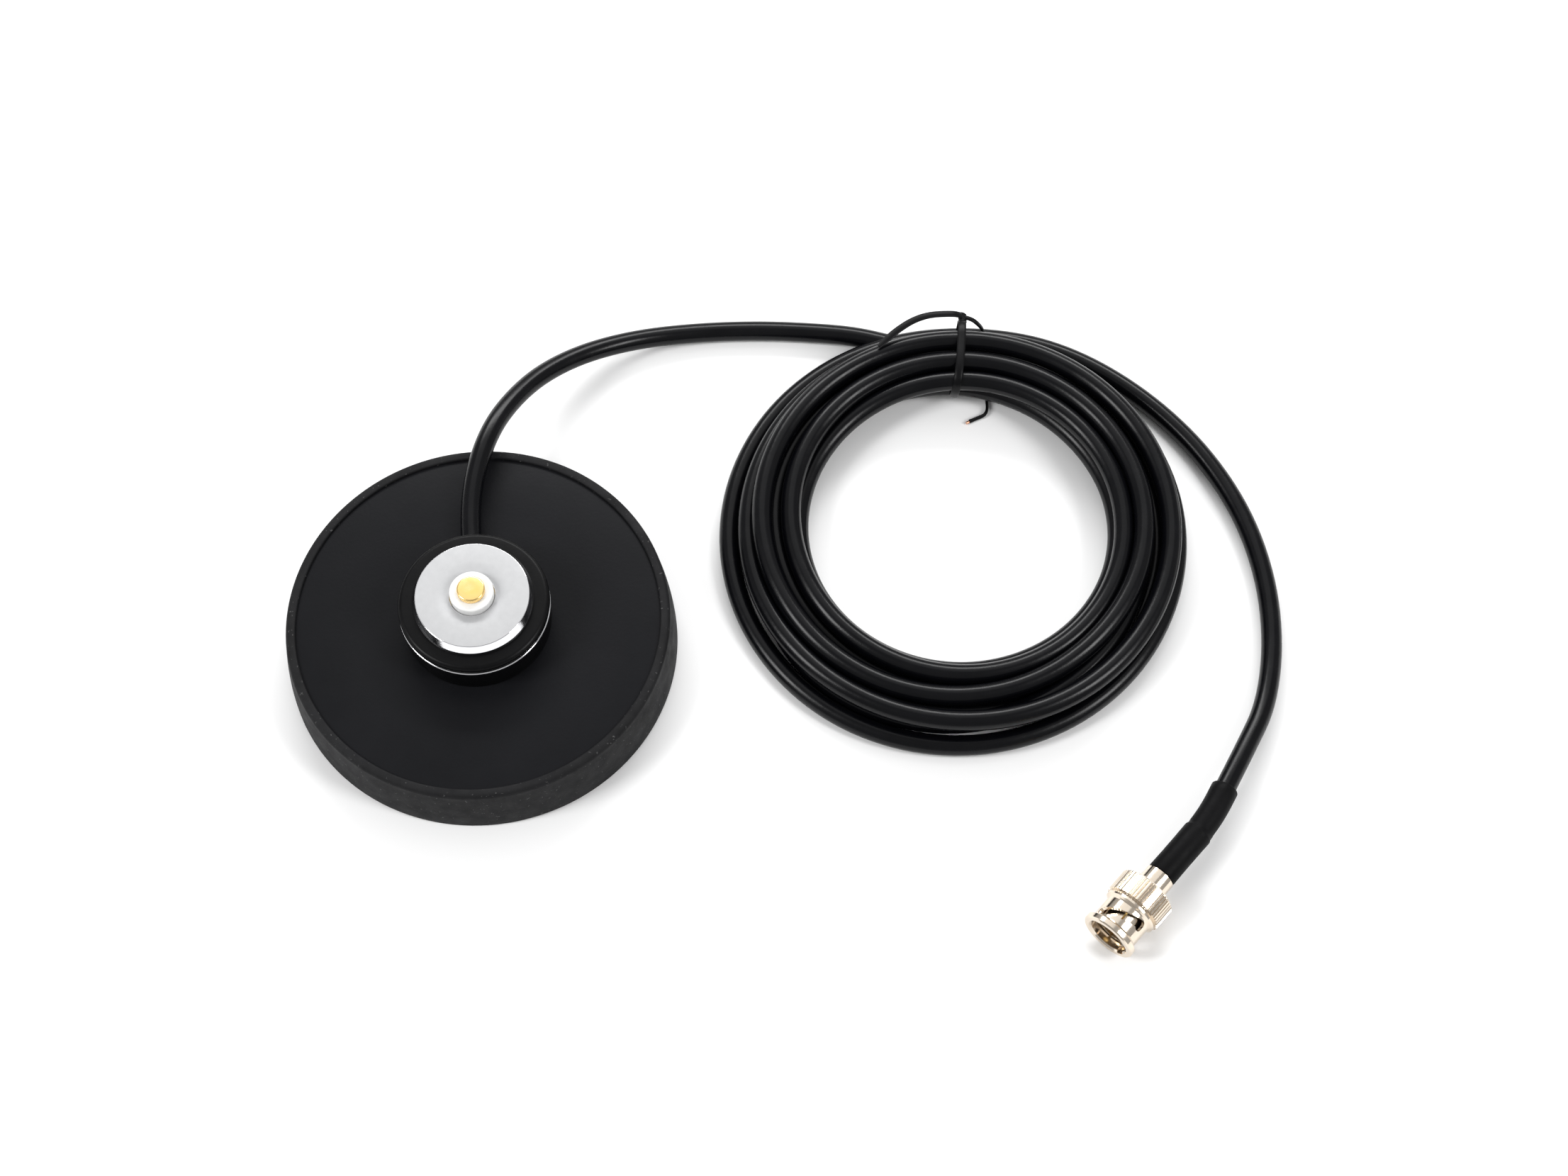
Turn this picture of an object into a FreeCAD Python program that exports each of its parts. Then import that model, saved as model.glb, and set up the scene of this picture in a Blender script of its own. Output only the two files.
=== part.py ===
"""Magnetic antenna mount: a rubber-booted magnet base with a screw-on antenna
socket, a coiled coaxial lead held by a twist tie, and a bayonet plug.

Row frame, millimetres: the origin is the centre of the base on the surface it
stands on, +Z is up, and +X points to the side on which the coiled lead lies.
"""
import math
import os

import FreeCAD
import Part
from FreeCAD import Placement, Rotation, Vector

# ---------------------------------------------------------------- base sizes
BOOT_BOTTOM_R = 47.0        # outside of the rubber boot where it stands
BOOT_TOP_R = 45.8           # outside of the boot just under its top lip
BOOT_LIP_R = 43.4           # the boot's lip leaves this much of the cup open
BOOT_FOOT_R = 41.0          # the boot turns in under the cup to this radius
BOOT_TOP_Z = 15.2
CUP_R = 44.4
CUP_TOP_Z = 14.4
CUP_WALL = 1.6
CUP_RIM_Z = 1.4             # the cup's open rim sits on the boot's foot
MAGNET_HOLE_R = 17.0
PAD_TOP_Z = 1.6
SIDE_CLEARANCE = 0.1        # round gap between pieces dropped into each other

# ------------------------------------------------------- antenna socket sizes
COLLAR_R = 17.5
COLLAR_CAVITY_R = 14.0
COLLAR_FLOOR = 1.5
COLLAR_TOP_Z = 22.0
SCREW_CIRCLE_R = 11.0
SCREW_ANGLES = (37.0, 157.0, 277.0)
SCREW_SHANK_R = 1.5
SCREW_HEAD_R = 2.8
SCREW_HEAD_H = 2.0
BOSS_R = 2.7
BOSS_TOP_Z = 19.4
FLANGE_R = 18.0
FLANGE_TOP_Z = 22.8
GASKET_R = 17.9
GASKET_TOP_Z = 25.2
SOCKET_R = 14.29            # 1 1/8 inch antenna thread, over its crests
SOCKET_RELIEF_R = 13.9      # the ring under the gasket
SOCKET_CROWN_R = 13.6       # flat top face, inside the polished chamfer
SOCKET_CHAMFER_Z = 26.4
SOCKET_TOP_Z = 28.2
BODY_NECK_R = 12.0          # the ring screws down on this neck
BODY_NECK_TOP_Z = 26.0
BODY_SHOULDER_R = 13.6
BODY_SHOULDER_Z = 20.9
BODY_STEM_R = 7.0
BODY_FLOOR_Z = 16.6
INSULATOR_R = 5.2
INSULATOR_BOTTOM_Z = 19.9
INSULATOR_TOP_Z = 30.2
CONTACT_R = 3.3
CONTACT_TOP_Z = 31.7
CONTACT_SHANK_R = 1.6
CONTACT_SHANK_Z = 21.6
SOLDER_HOLE_TOP_Z = 23.4

# ------------------------------------------------------------ coaxial cable
CABLE_R = 2.5               # PVC jacket, 5 mm over all
BRAID_R = 1.95
DIELECTRIC_R = 1.48
CONDUCTOR_R = 0.45
EXIT_Z = 18.2
EXIT_HEADING = 97.0         # degrees from +X, the way the lead leaves the hub
JACKET_END = 12.0           # distance of the jacket's end from the hub's axis
BRAID_END = 5.4
GROMMET_R = 3.3
GROMMET_INNER_END = 13.8
GROMMET_OUTER_END = 17.9
FLOOR_Z = 2.6               # centre of a cable that lies on the surface

# ------------------------------------------------------------- coil and tie
COIL_OUTER_CENTRE = (114.2, 25.4)
COIL_OUTER_R = 56.4
COIL_INNER_CENTRE = (116.8, 29.0)
COIL_INNER_R = 39.6
COIL_HEIGHT = 15.0
COIL_ROUNDING = 4.5
TIE_X = 117.5               # the tie crosses the coil's far side here
TIE_WIDTH = 2.0
TIE_THICKNESS = 0.7
TIE_INNER_Y = 68.2
TIE_OUTER_Y = 82.1
TIE_TOP_Z = 15.4

# --------------------------------------------------------------- plug sizes
# Distances along the plug are counted from the rear face of its neck towards
# the open mouth, so what lies under the heat-shrink sleeve is negative.
PLUG_REAR = Vector(159.7, -61.75, 7.1)
PLUG_HEADING = 228.5        # degrees from +X, the way the mouth points
MOUTH = 19.75
NUT_REAR = 4.45
KNURL_END = 12.1
KNURL_R = 7.05
KNURL_ROOT_R = 6.75
KNURL_RIBS = 48
FRONT_RING_R = 6.55
SLEEVE_R = 5.75
LIP_R = 6.75
LIP_LENGTH = 1.7
NUT_BORE_R = 4.9
NUT_WEB_FRONT = 6.7
NUT_WEB_REAR = 5.5
NUT_RECESS_R = 5.2
WEB_BORE_R = 3.71
NECK_R = 3.65
WASHER_R = 4.78
THRUST_FRONT = 7.1
SPRING_FRONT = 8.4
BODY_FLANGE_R = 4.8
BODY_FLANGE_FRONT = 9.8
GASKET_FRONT = 10.7
OUTER_CONTACT_R = 4.05
OUTER_CONTACT_BORE_R = 3.35
OUTER_CONTACT_END = 17.6
FINGER_SLOTS = 4
FINGER_SLOT_WIDTH = 0.45
FINGER_SLOT_LENGTH = 5.0
PLUG_INSULATOR_R = 2.4
PLUG_INSULATOR_END = 12.4
PIN_REAR_R = 1.0
PIN_R = 0.68
PIN_TIP = 17.4
SNAP_RING_GROOVE_R = 3.35
SNAP_RING_R = 4.3
SNAP_RING_REAR = 4.9
SNAP_RING_FRONT = 5.45
STEM_REAR = -11.0
STEM_BORE_R = 1.5
FERRULE_REAR = -14.0
FERRULE_R = 2.85
SLEEVE_REAR = -28.5         # heat-shrink sleeve
SLEEVE_FERRULE_R = 3.55
SLEEVE_CABLE_R = 3.25
SLOT_RADIUS = 1.05          # half the width of a bayonet slot
SLOT_TURN = 100.0           # degrees that a bayonet slot winds round
SLOT_START = 16.7           # where the ramp leaves the entry groove
SLOT_STOP = 13.6            # where the ramp ends, before its locking notch
SLOT_NOTCH = 0.7
SLOT_CUTTERS = 18           # round cutters in a row that make one ramp
ENTRY_GROOVE_R = 5.45

# ---------------------------------------------------------- route of the lead
# Points that the cable's centre line bends round, chosen where it lies: out
# of the hub, over the boot's lip in a long low hump and down to the surface.
LEAD_STRAIGHT = 23.8        # the first run lies along a radius as far as this
LEAD_ROUTE = [
    (-2.4, 35.5, 22.8),
    (0.6, 48.5, 22.8),
    (5.8, 60.5, 17.6),
    (13.4, 71.2, 11.4),
    (24.5, 79.8, 6.2),
    (38.5, 85.4, 3.4),
    (54.5, 87.9, FLOOR_Z),
    (71.5, 88.0, FLOOR_Z),
    (87.5, 86.8, FLOOR_Z),
    (101.0, 83.0, FLOOR_Z),
    (113.4, 76.0, FLOOR_Z),
]
# The tail leaves from under the coil and swings round it to the plug.
TAIL_ROUTE = [
    (121.4, 76.4, FLOOR_Z),
    (134.0, 80.3, FLOOR_Z),
    (146.5, 78.9, FLOOR_Z),
    (158.4, 71.9, FLOOR_Z),
    (169.6, 62.4, FLOOR_Z),
    (179.8, 50.4, FLOOR_Z),
    (187.4, 36.0, FLOOR_Z),
    (191.9, 18.0, FLOOR_Z),
    (192.4, -0.5, FLOOR_Z),
    (189.4, -16.0, 3.2),
]
TAIL_LAST_BEND = -18.8      # along the plug's axis, inside the sleeve
BEND_SHARE = 0.45           # how much of the shorter run an arc may take

OUT = "parts"


# ------------------------------------------------------------- basic shapes
def cylinder(radius, z_low, z_high, x=0.0, y=0.0):
    return Part.makeCylinder(radius, z_high - z_low, Vector(x, y, z_low))


def ring(outer, inner, z_low, z_high):
    return cylinder(outer, z_low, z_high).cut(cylinder(inner, z_low - 1, z_high + 1))


def turned(outline):
    """Solid of revolution about Z. The outline is a closed list of (radius,
    height) corners; a corner given as ((mid), (end)) is reached by an arc."""
    edges = []
    here = outline[0]
    for step in outline[1:] + [outline[0]]:
        start = Vector(here[0], 0, here[1])
        if isinstance(step[0], tuple):
            middle, end = step
            arc = Part.Arc(start, Vector(middle[0], 0, middle[1]), Vector(end[0], 0, end[1]))
            edges.append(arc.toShape())
            here = end
        else:
            edges.append(Part.makeLine(start, Vector(step[0], 0, step[1])))
            here = step
    face = Part.Face(Part.Wire(edges))
    return face.revolve(Vector(0, 0, 0), Vector(0, 0, 1), 360)


def polar(radius, degrees, z=0.0):
    angle = math.radians(degrees)
    return Vector(radius * math.cos(angle), radius * math.sin(angle), z)


def radial_rod(radius, inner, outer, heading, z):
    """Round rod that lies along a radius of the hub."""
    direction = polar(1, heading)
    return Part.makeCylinder(radius, outer - inner, direction * inner + Vector(0, 0, z), direction)


def fused(shapes):
    whole = shapes[0]
    for shape in shapes[1:]:
        whole = whole.fuse(shape)
    return whole.removeSplitter()


# ----------------------------------------------------------------- the base
def rubber_boot():
    return turned([
        (BOOT_FOOT_R, 0.0),
        (BOOT_BOTTOM_R - 0.8, 0.0),
        ((BOOT_BOTTOM_R - 0.23, 0.23), (BOOT_BOTTOM_R, 0.8)),
        ((BOOT_BOTTOM_R - 0.25, 7.0), (BOOT_TOP_R, BOOT_TOP_Z - 1.3)),
        ((BOOT_TOP_R - 0.3, BOOT_TOP_Z - 0.35), (BOOT_TOP_R - 1.0, BOOT_TOP_Z)),
        (BOOT_LIP_R + 0.5, BOOT_TOP_Z),
        ((BOOT_LIP_R + 0.15, BOOT_TOP_Z - 0.15), (BOOT_LIP_R, BOOT_TOP_Z - 0.5)),
        (BOOT_LIP_R, CUP_TOP_Z),
        (CUP_R, CUP_TOP_Z),
        (CUP_R, CUP_RIM_Z),
        (BOOT_FOOT_R, CUP_RIM_Z),
    ])


def steel_cup():
    cup = turned([
        (0, CUP_TOP_Z - CUP_WALL),
        (CUP_R - CUP_WALL, CUP_TOP_Z - CUP_WALL),
        (CUP_R - CUP_WALL, CUP_RIM_Z),
        (CUP_R, CUP_RIM_Z),
        (CUP_R, CUP_TOP_Z),
        (0, CUP_TOP_Z),
    ])
    for angle in SCREW_ANGLES:
        centre = polar(SCREW_CIRCLE_R, angle)
        hole = cylinder(SCREW_SHANK_R, CUP_TOP_Z - CUP_WALL - 1, CUP_TOP_Z + 1, centre.x, centre.y)
        cup = cup.cut(hole)
    return cup


def ring_magnet():
    outer = CUP_R - CUP_WALL - SIDE_CLEARANCE
    return ring(outer, MAGNET_HOLE_R, PAD_TOP_Z, CUP_TOP_Z - CUP_WALL)


def base_pad():
    return cylinder(BOOT_FOOT_R - SIDE_CLEARANCE, 0.0, PAD_TOP_Z)


def hub_collar():
    collar = turned([
        (0, CUP_TOP_Z),
        (COLLAR_R - 0.3, CUP_TOP_Z),
        (COLLAR_R, CUP_TOP_Z + 0.3),
        (COLLAR_R, COLLAR_TOP_Z - 0.6),
        ((COLLAR_R - 0.18, COLLAR_TOP_Z - 0.18), (COLLAR_R - 0.6, COLLAR_TOP_Z)),
        (COLLAR_CAVITY_R, COLLAR_TOP_Z),
        (COLLAR_CAVITY_R, CUP_TOP_Z + COLLAR_FLOOR),
        (0, CUP_TOP_Z + COLLAR_FLOOR),
    ])
    for angle in SCREW_ANGLES:
        centre = polar(SCREW_CIRCLE_R, angle)
        collar = collar.fuse(cylinder(BOSS_R, CUP_TOP_Z + 0.5, BOSS_TOP_Z, centre.x, centre.y))
        collar = collar.cut(cylinder(SCREW_SHANK_R, CUP_TOP_Z - 1, BOSS_TOP_Z - 0.8, centre.x, centre.y))
    return collar.cut(radial_rod(GROMMET_R, 9.0, COLLAR_R + 2, EXIT_HEADING, EXIT_Z))


def collar_screws():
    """Three pan-head screws, driven up through the cup into the collar."""
    screws = []
    for angle in SCREW_ANGLES:
        centre = polar(SCREW_CIRCLE_R, angle)
        head_top = CUP_TOP_Z - CUP_WALL
        head = turned([
            (0, head_top - SCREW_HEAD_H),
            (SCREW_HEAD_R - 0.8, head_top - SCREW_HEAD_H),
            ((SCREW_HEAD_R - 0.2, head_top - 1.5), (SCREW_HEAD_R, head_top - 0.8)),
            (SCREW_HEAD_R, head_top),
            (0, head_top),
        ])
        shank = cylinder(SCREW_SHANK_R, head_top, BOSS_TOP_Z - 0.8)
        recess_size = 2.6
        recess = Part.makeBox(recess_size, 0.7, 1.0, Vector(-recess_size / 2, -0.35, head_top - SCREW_HEAD_H))
        cross = recess.fuse(recess.rotated(Vector(0, 0, 0), Vector(0, 0, 1), 90))
        screw = fused([head, shank]).cut(cross)
        screw.translate(centre)
        screws.append(screw)
    return Part.Compound(screws)


# ------------------------------------------------------- the antenna socket
def mount_flange():
    flange = turned([
        (BODY_NECK_R, COLLAR_TOP_Z),
        (FLANGE_R - 0.25, COLLAR_TOP_Z),
        (FLANGE_R, COLLAR_TOP_Z + 0.25),
        (FLANGE_R, FLANGE_TOP_Z - 0.25),
        (FLANGE_R - 0.25, FLANGE_TOP_Z),
        (BODY_NECK_R, FLANGE_TOP_Z),
    ])
    return flange


def hub_gasket():
    height = GASKET_TOP_Z - FLANGE_TOP_Z
    rounding = 1.0
    return turned([
        (SOCKET_RELIEF_R, FLANGE_TOP_Z),
        (GASKET_R - 0.4, FLANGE_TOP_Z),
        ((GASKET_R, FLANGE_TOP_Z + height / 2), (GASKET_R - 0.5, GASKET_TOP_Z - 0.5)),
        ((GASKET_R - 0.75, GASKET_TOP_Z - 0.14), (GASKET_R - rounding - 0.2, GASKET_TOP_Z)),
        (SOCKET_RELIEF_R, GASKET_TOP_Z),
    ])


def socket_ring():
    """Cap-shaped ring with the antenna thread outside, screwed on the body."""
    return turned([
        (BODY_NECK_R, FLANGE_TOP_Z),
        (SOCKET_RELIEF_R, FLANGE_TOP_Z),
        (SOCKET_RELIEF_R, GASKET_TOP_Z),
        (SOCKET_R, GASKET_TOP_Z),
        (SOCKET_R, SOCKET_CHAMFER_Z),
        (SOCKET_CROWN_R + 0.12, SOCKET_TOP_Z - 0.05),
        (SOCKET_CROWN_R, SOCKET_TOP_Z),
        (INSULATOR_R, SOCKET_TOP_Z),
        (INSULATOR_R, BODY_NECK_TOP_Z),
        (BODY_NECK_R, BODY_NECK_TOP_Z),
    ])


def socket_body():
    body = turned([
        (0, CUP_TOP_Z + COLLAR_FLOOR),
        (BODY_STEM_R, CUP_TOP_Z + COLLAR_FLOOR),
        (BODY_STEM_R, BODY_SHOULDER_Z),
        (BODY_SHOULDER_R, BODY_SHOULDER_Z),
        (BODY_SHOULDER_R, COLLAR_TOP_Z),
        (BODY_NECK_R, COLLAR_TOP_Z),
        (BODY_NECK_R, BODY_NECK_TOP_Z),
        (INSULATOR_R, BODY_NECK_TOP_Z),
        (INSULATOR_R, BODY_FLOOR_Z),
        (0, BODY_FLOOR_Z),
    ])
    return body.cut(radial_rod(BRAID_R, 3.0, BODY_STEM_R + 2, EXIT_HEADING, EXIT_Z))


def socket_insulator():
    rounding = 0.3
    body = turned([
        (CONTACT_SHANK_R, INSULATOR_BOTTOM_Z),
        (INSULATOR_R, INSULATOR_BOTTOM_Z),
        (INSULATOR_R, INSULATOR_TOP_Z - rounding),
        (INSULATOR_R - rounding, INSULATOR_TOP_Z),
        (CONTACT_SHANK_R, INSULATOR_TOP_Z),
    ])
    return body


def centre_contact():
    contact = turned([
        (0, CONTACT_SHANK_Z),
        (CONTACT_SHANK_R, CONTACT_SHANK_Z),
        (CONTACT_SHANK_R, INSULATOR_TOP_Z),
        (CONTACT_R, INSULATOR_TOP_Z),
        (CONTACT_R, CONTACT_TOP_Z - 0.35),
        ((CONTACT_R - 0.1, CONTACT_TOP_Z - 0.1), (CONTACT_R - 0.35, CONTACT_TOP_Z)),
        (0, CONTACT_TOP_Z),
    ])
    return contact.cut(cylinder(CONDUCTOR_R, CONTACT_SHANK_Z - 1, SOLDER_HOLE_TOP_Z))


def cable_grommet():
    tube = radial_rod(GROMMET_R, GROMMET_INNER_END, GROMMET_OUTER_END, EXIT_HEADING, EXIT_Z)
    return tube.cut(radial_rod(CABLE_R, GROMMET_INNER_END - 1, GROMMET_OUTER_END + 1, EXIT_HEADING, EXIT_Z))


def hub_braid():
    tube = radial_rod(BRAID_R, BRAID_END, JACKET_END, EXIT_HEADING, EXIT_Z)
    return tube.cut(radial_rod(DIELECTRIC_R, BRAID_END - 1, JACKET_END + 1, EXIT_HEADING, EXIT_Z))


def hub_dielectric():
    stripped = 2.0
    tube = radial_rod(DIELECTRIC_R, stripped, JACKET_END, EXIT_HEADING, EXIT_Z)
    return tube.cut(radial_rod(CONDUCTOR_R, stripped - 1, JACKET_END + 1, EXIT_HEADING, EXIT_Z))


def hub_conductor():
    """Inner wire of the lead, turned up into the solder hole of the contact."""
    bend = 1.4
    out = polar(1, EXIT_HEADING)
    up = Vector(0, 0, 1)
    level = Vector(0, 0, EXIT_Z)
    start = level + out * JACKET_END
    bend_in = level + out * bend
    centre = bend_in + up * bend
    middle = centre - (out + up) * (bend / math.sqrt(2))
    bend_out = level + up * bend
    path = Part.Wire([
        Part.makeLine(start, bend_in),
        Part.Arc(bend_in, middle, bend_out).toShape(),
        Part.makeLine(bend_out, Vector(0, 0, SOLDER_HOLE_TOP_Z)),
    ])
    return swept_disc(path, start, out * -1, CONDUCTOR_R)


# ---------------------------------------------------------------- the cable
def swept_disc(path, start, direction, radius):
    circle = Part.Wire(Part.makeCircle(radius, start, direction))
    return path.makePipeShell([circle], True, True)


def route_path(points):
    """Straight runs joined by tangent arcs, each as large as its runs allow."""
    corners = [Vector(*p) for p in points]
    edges = []
    radii = []
    here = corners[0]
    for before, corner, after in zip(corners, corners[1:], corners[2:]):
        run_in = corner - before
        run_out = after - corner
        back = (run_in * -1).normalize()
        ahead = Vector(run_out).normalize()
        half_turn = (math.pi - back.getAngle(ahead)) / 2
        trim = BEND_SHARE * min(run_in.Length, run_out.Length)
        radius = trim / math.tan(half_turn)
        radii.append(radius)
        arc_start = corner + back * trim
        arc_end = corner + ahead * trim
        bisector = (back + ahead).normalize()
        middle = corner + bisector * (radius / math.cos(half_turn) - radius)
        edges.append(Part.LineSegment(here, arc_start).toShape())
        edges.append(Part.Arc(arc_start, middle, arc_end).toShape())
        here = arc_end
    edges.append(Part.LineSegment(here, corners[-1]).toShape())
    return Part.Wire(edges), radii


def tube_along(path, points, radius):
    start = Vector(*points[0])
    return swept_disc(path, start, Vector(*points[1]) - start, radius)


def cable_along(name, points):
    path, radii = route_path(points)
    solid = tube_along(path, points, CABLE_R)
    expected = math.pi * CABLE_R ** 2 * path.Length
    print(f"{name}: {path.Length:.1f} mm long, tightest bend {min(radii):.1f} mm,",
          "radii", [round(r, 1) for r in radii])
    print(f"{name}: volume is {solid.Volume / expected:.4f} of section times length")
    return solid


def cable_coil():
    """Outer shape of the wound part: round outside, with a round opening that
    sits off centre towards the tie, and rounded edges."""
    outer = Part.makeCylinder(COIL_OUTER_R, COIL_HEIGHT, Vector(*COIL_OUTER_CENTRE, 0))
    inner = Part.makeCylinder(COIL_INNER_R, COIL_HEIGHT + 2, Vector(*COIL_INNER_CENTRE, -1))
    coil = outer.cut(inner)
    rims = [edge for edge in coil.Edges if edge.BoundBox.ZLength < COIL_ROUNDING]
    return coil.makeFillet(COIL_ROUNDING, rims)


def tie_band(inset):
    """Filled outline of the tie's loop round the coil, seen along X."""
    low_y = TIE_INNER_Y + inset
    high_y = TIE_OUTER_Y - inset
    low_z = inset
    high_z = TIE_TOP_Z - inset
    box = Part.makeBox(TIE_WIDTH, high_y - low_y, high_z - low_z,
                       Vector(TIE_X - TIE_WIDTH / 2, low_y, low_z))
    along_x = [edge for edge in box.Edges if edge.BoundBox.XLength > TIE_WIDTH / 2]
    return box.makeFillet(COIL_ROUNDING - inset, along_x)


def tie_strand(points, radius):
    path, _ = route_path(points)
    return tube_along(path, points, radius)


def twist_tie():
    """Plastic-covered wire: a flat loop round the coil, a twisted knot on the
    far side, one long end over the turns and one end back under the coil."""
    band = tie_band(0.0).cut(tie_band(TIE_THICKNESS))
    knot_r = 1.3
    knot = Part.makeCylinder(knot_r, 5.0, Vector(TIE_X, TIE_OUTER_Y - 0.6, 11.5), Vector(0, 1, 0.25))
    end_r = 0.55
    long_end = tie_strand([
        (TIE_X - 0.4, TIE_OUTER_Y + 3.4, 12.6),
        (TIE_X - 5.0, TIE_OUTER_Y + 4.2, 14.4),
        (TIE_X - 11.0, TIE_OUTER_Y + 2.2, 16.4),
        (TIE_X - 16.5, TIE_OUTER_Y - 1.4, 17.0),
        (TIE_X - 21.0, TIE_OUTER_Y - 6.0, 16.2),
    ], end_r)
    short_end = tie_strand([
        (TIE_X + 0.4, TIE_OUTER_Y + 3.4, 12.6),
        (TIE_X + 3.2, TIE_OUTER_Y + 3.6, 11.0),
        (TIE_X + 5.4, TIE_OUTER_Y + 2.8, 8.0),
        (TIE_X + 6.0, TIE_OUTER_Y + 2.2, 5.0),
    ], end_r)
    return fused([band, knot, long_end, short_end])


# ----------------------------------------------------------------- the plug
def on_plug(shape):
    """Moves a piece made about +Z to the plug: Z runs along the plug's axis."""
    turn = Rotation(Vector(0, 0, 1), polar(1, PLUG_HEADING))
    shape.Placement = Placement(PLUG_REAR, turn)
    return shape


def plug_point(distance):
    point = PLUG_REAR + polar(1, PLUG_HEADING) * distance
    return (point.x, point.y, point.z)


def ribbed_disc(z_low, z_high):
    corners = []
    for index in range(KNURL_RIBS):
        for share, radius in ((0.0, KNURL_R), (0.34, KNURL_R), (0.5, KNURL_ROOT_R), (0.84, KNURL_ROOT_R)):
            corners.append(polar(radius, (index + share) * 360.0 / KNURL_RIBS, z_low))
    outline = Part.makePolygon(corners + [corners[0]])
    return Part.Face(outline).extrude(Vector(0, 0, z_high - z_low))


def bayonet_slot(start_angle):
    """Cutters for one slot of the bayonet: a groove in from the mouth, a row of
    round cutters that wind back round the sleeve, and a locking notch."""
    groove_length = MOUTH + 2 - SLOT_START
    groove = Part.makeBox(ENTRY_GROOVE_R, 2 * SLOT_RADIUS, groove_length, Vector(0, -SLOT_RADIUS, SLOT_START))
    groove = groove.common(cylinder(ENTRY_GROOVE_R, SLOT_START, MOUTH + 1))
    groove.rotate(Vector(0, 0, 0), Vector(0, 0, 1), start_angle + SLOT_TURN)
    cutters = [groove]
    stations = [(0.0, SLOT_STOP + SLOT_NOTCH)]
    for index in range(SLOT_CUTTERS):
        share = index / (SLOT_CUTTERS - 1)
        stations.append((SLOT_TURN * share, SLOT_STOP + (SLOT_START - SLOT_STOP) * share))
    inner = NUT_BORE_R - 1
    for angle, height in stations:
        direction = polar(1, start_angle + angle)
        foot = direction * inner + Vector(0, 0, height)
        cutters.append(Part.makeCylinder(SLOT_RADIUS, SLEEVE_R + 1 - inner, foot, direction))
    return cutters


def coupling_nut():
    knurl_rear = NUT_REAR + 0.6
    knurl_front = KNURL_END - 1.6
    core_r = KNURL_ROOT_R - 0.4
    nut = turned([
        (NUT_RECESS_R, NUT_REAR),
        (KNURL_ROOT_R - 0.7, NUT_REAR),
        (core_r, knurl_rear - 0.2),
        (core_r, knurl_front + 0.2),
        (FRONT_RING_R, knurl_front + 0.7),
        (FRONT_RING_R, KNURL_END - 0.4),
        (SLEEVE_R + 0.3, KNURL_END),
        (SLEEVE_R, KNURL_END + 0.3),
        (SLEEVE_R, MOUTH - LIP_LENGTH - 0.5),
        (LIP_R - 0.3, MOUTH - LIP_LENGTH),
        (LIP_R, MOUTH - LIP_LENGTH + 0.3),
        (LIP_R, MOUTH - 0.3),
        (LIP_R - 0.3, MOUTH),
        (NUT_BORE_R + 0.4, MOUTH),
        (NUT_BORE_R, MOUTH - 0.4),
        (NUT_BORE_R, NUT_WEB_FRONT),
        (WEB_BORE_R, NUT_WEB_FRONT),
        (WEB_BORE_R, NUT_WEB_REAR),
        (NUT_RECESS_R, NUT_WEB_REAR),
    ])
    ribs = ribbed_disc(knurl_rear, knurl_front).cut(cylinder(core_r - 0.4, NUT_REAR, MOUTH))
    nut = nut.fuse(ribs)
    for start_angle in (0.0, 180.0):
        for cutter in bayonet_slot(start_angle):
            nut = nut.cut(cutter)
    return nut


def plug_body():
    body = turned([
        (STEM_BORE_R, STEM_REAR),
        (BRAID_R, STEM_REAR),
        (BRAID_R, 0.0),
        (NECK_R - 0.2, 0.0),
        (NECK_R, 0.2),
        (NECK_R, SNAP_RING_REAR),
        (SNAP_RING_GROOVE_R, SNAP_RING_REAR),
        (SNAP_RING_GROOVE_R, SNAP_RING_FRONT),
        (NECK_R, SNAP_RING_FRONT),
        (NECK_R, SPRING_FRONT),
        (BODY_FLANGE_R, SPRING_FRONT),
        (BODY_FLANGE_R, BODY_FLANGE_FRONT),
        (OUTER_CONTACT_R, BODY_FLANGE_FRONT),
        (OUTER_CONTACT_R, OUTER_CONTACT_END - 0.3),
        (OUTER_CONTACT_R - 0.3, OUTER_CONTACT_END),
        (OUTER_CONTACT_BORE_R, OUTER_CONTACT_END),
        (OUTER_CONTACT_BORE_R, SPRING_FRONT + 0.8),
        (PLUG_INSULATOR_R, SPRING_FRONT + 0.8),
        (PLUG_INSULATOR_R, 1.0),
        (STEM_BORE_R, 1.0),
    ])
    for index in range(FINGER_SLOTS // 2):
        slot = Part.makeBox(2 * OUTER_CONTACT_R + 2, FINGER_SLOT_WIDTH, FINGER_SLOT_LENGTH + 1,
                            Vector(-OUTER_CONTACT_R - 1, -FINGER_SLOT_WIDTH / 2,
                                   OUTER_CONTACT_END - FINGER_SLOT_LENGTH))
        slot.rotate(Vector(0, 0, 0), Vector(0, 0, 1), 45 + 180.0 * index / (FINGER_SLOTS // 2))
        body = body.cut(slot)
    return body


def plug_insulator():
    return turned([
        (PIN_REAR_R, 1.0),
        (PLUG_INSULATOR_R, 1.0),
        (PLUG_INSULATOR_R, SPRING_FRONT + 0.8),
        (OUTER_CONTACT_BORE_R, SPRING_FRONT + 0.8),
        (OUTER_CONTACT_BORE_R, PLUG_INSULATOR_END),
        (PIN_REAR_R, PLUG_INSULATOR_END),
    ])


def plug_pin():
    pin = turned([
        (0, 1.0),
        (PIN_REAR_R, 1.0),
        (PIN_REAR_R, PLUG_INSULATOR_END),
        (PIN_R, PLUG_INSULATOR_END + 0.3),
        (PIN_R, PIN_TIP - 0.5),
        ((PIN_R * 0.8, PIN_TIP - 0.15), (PIN_R * 0.4, PIN_TIP)),
        (0, PIN_TIP),
    ])
    return pin.cut(cylinder(CONDUCTOR_R, 0.0, 4.0))


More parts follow.
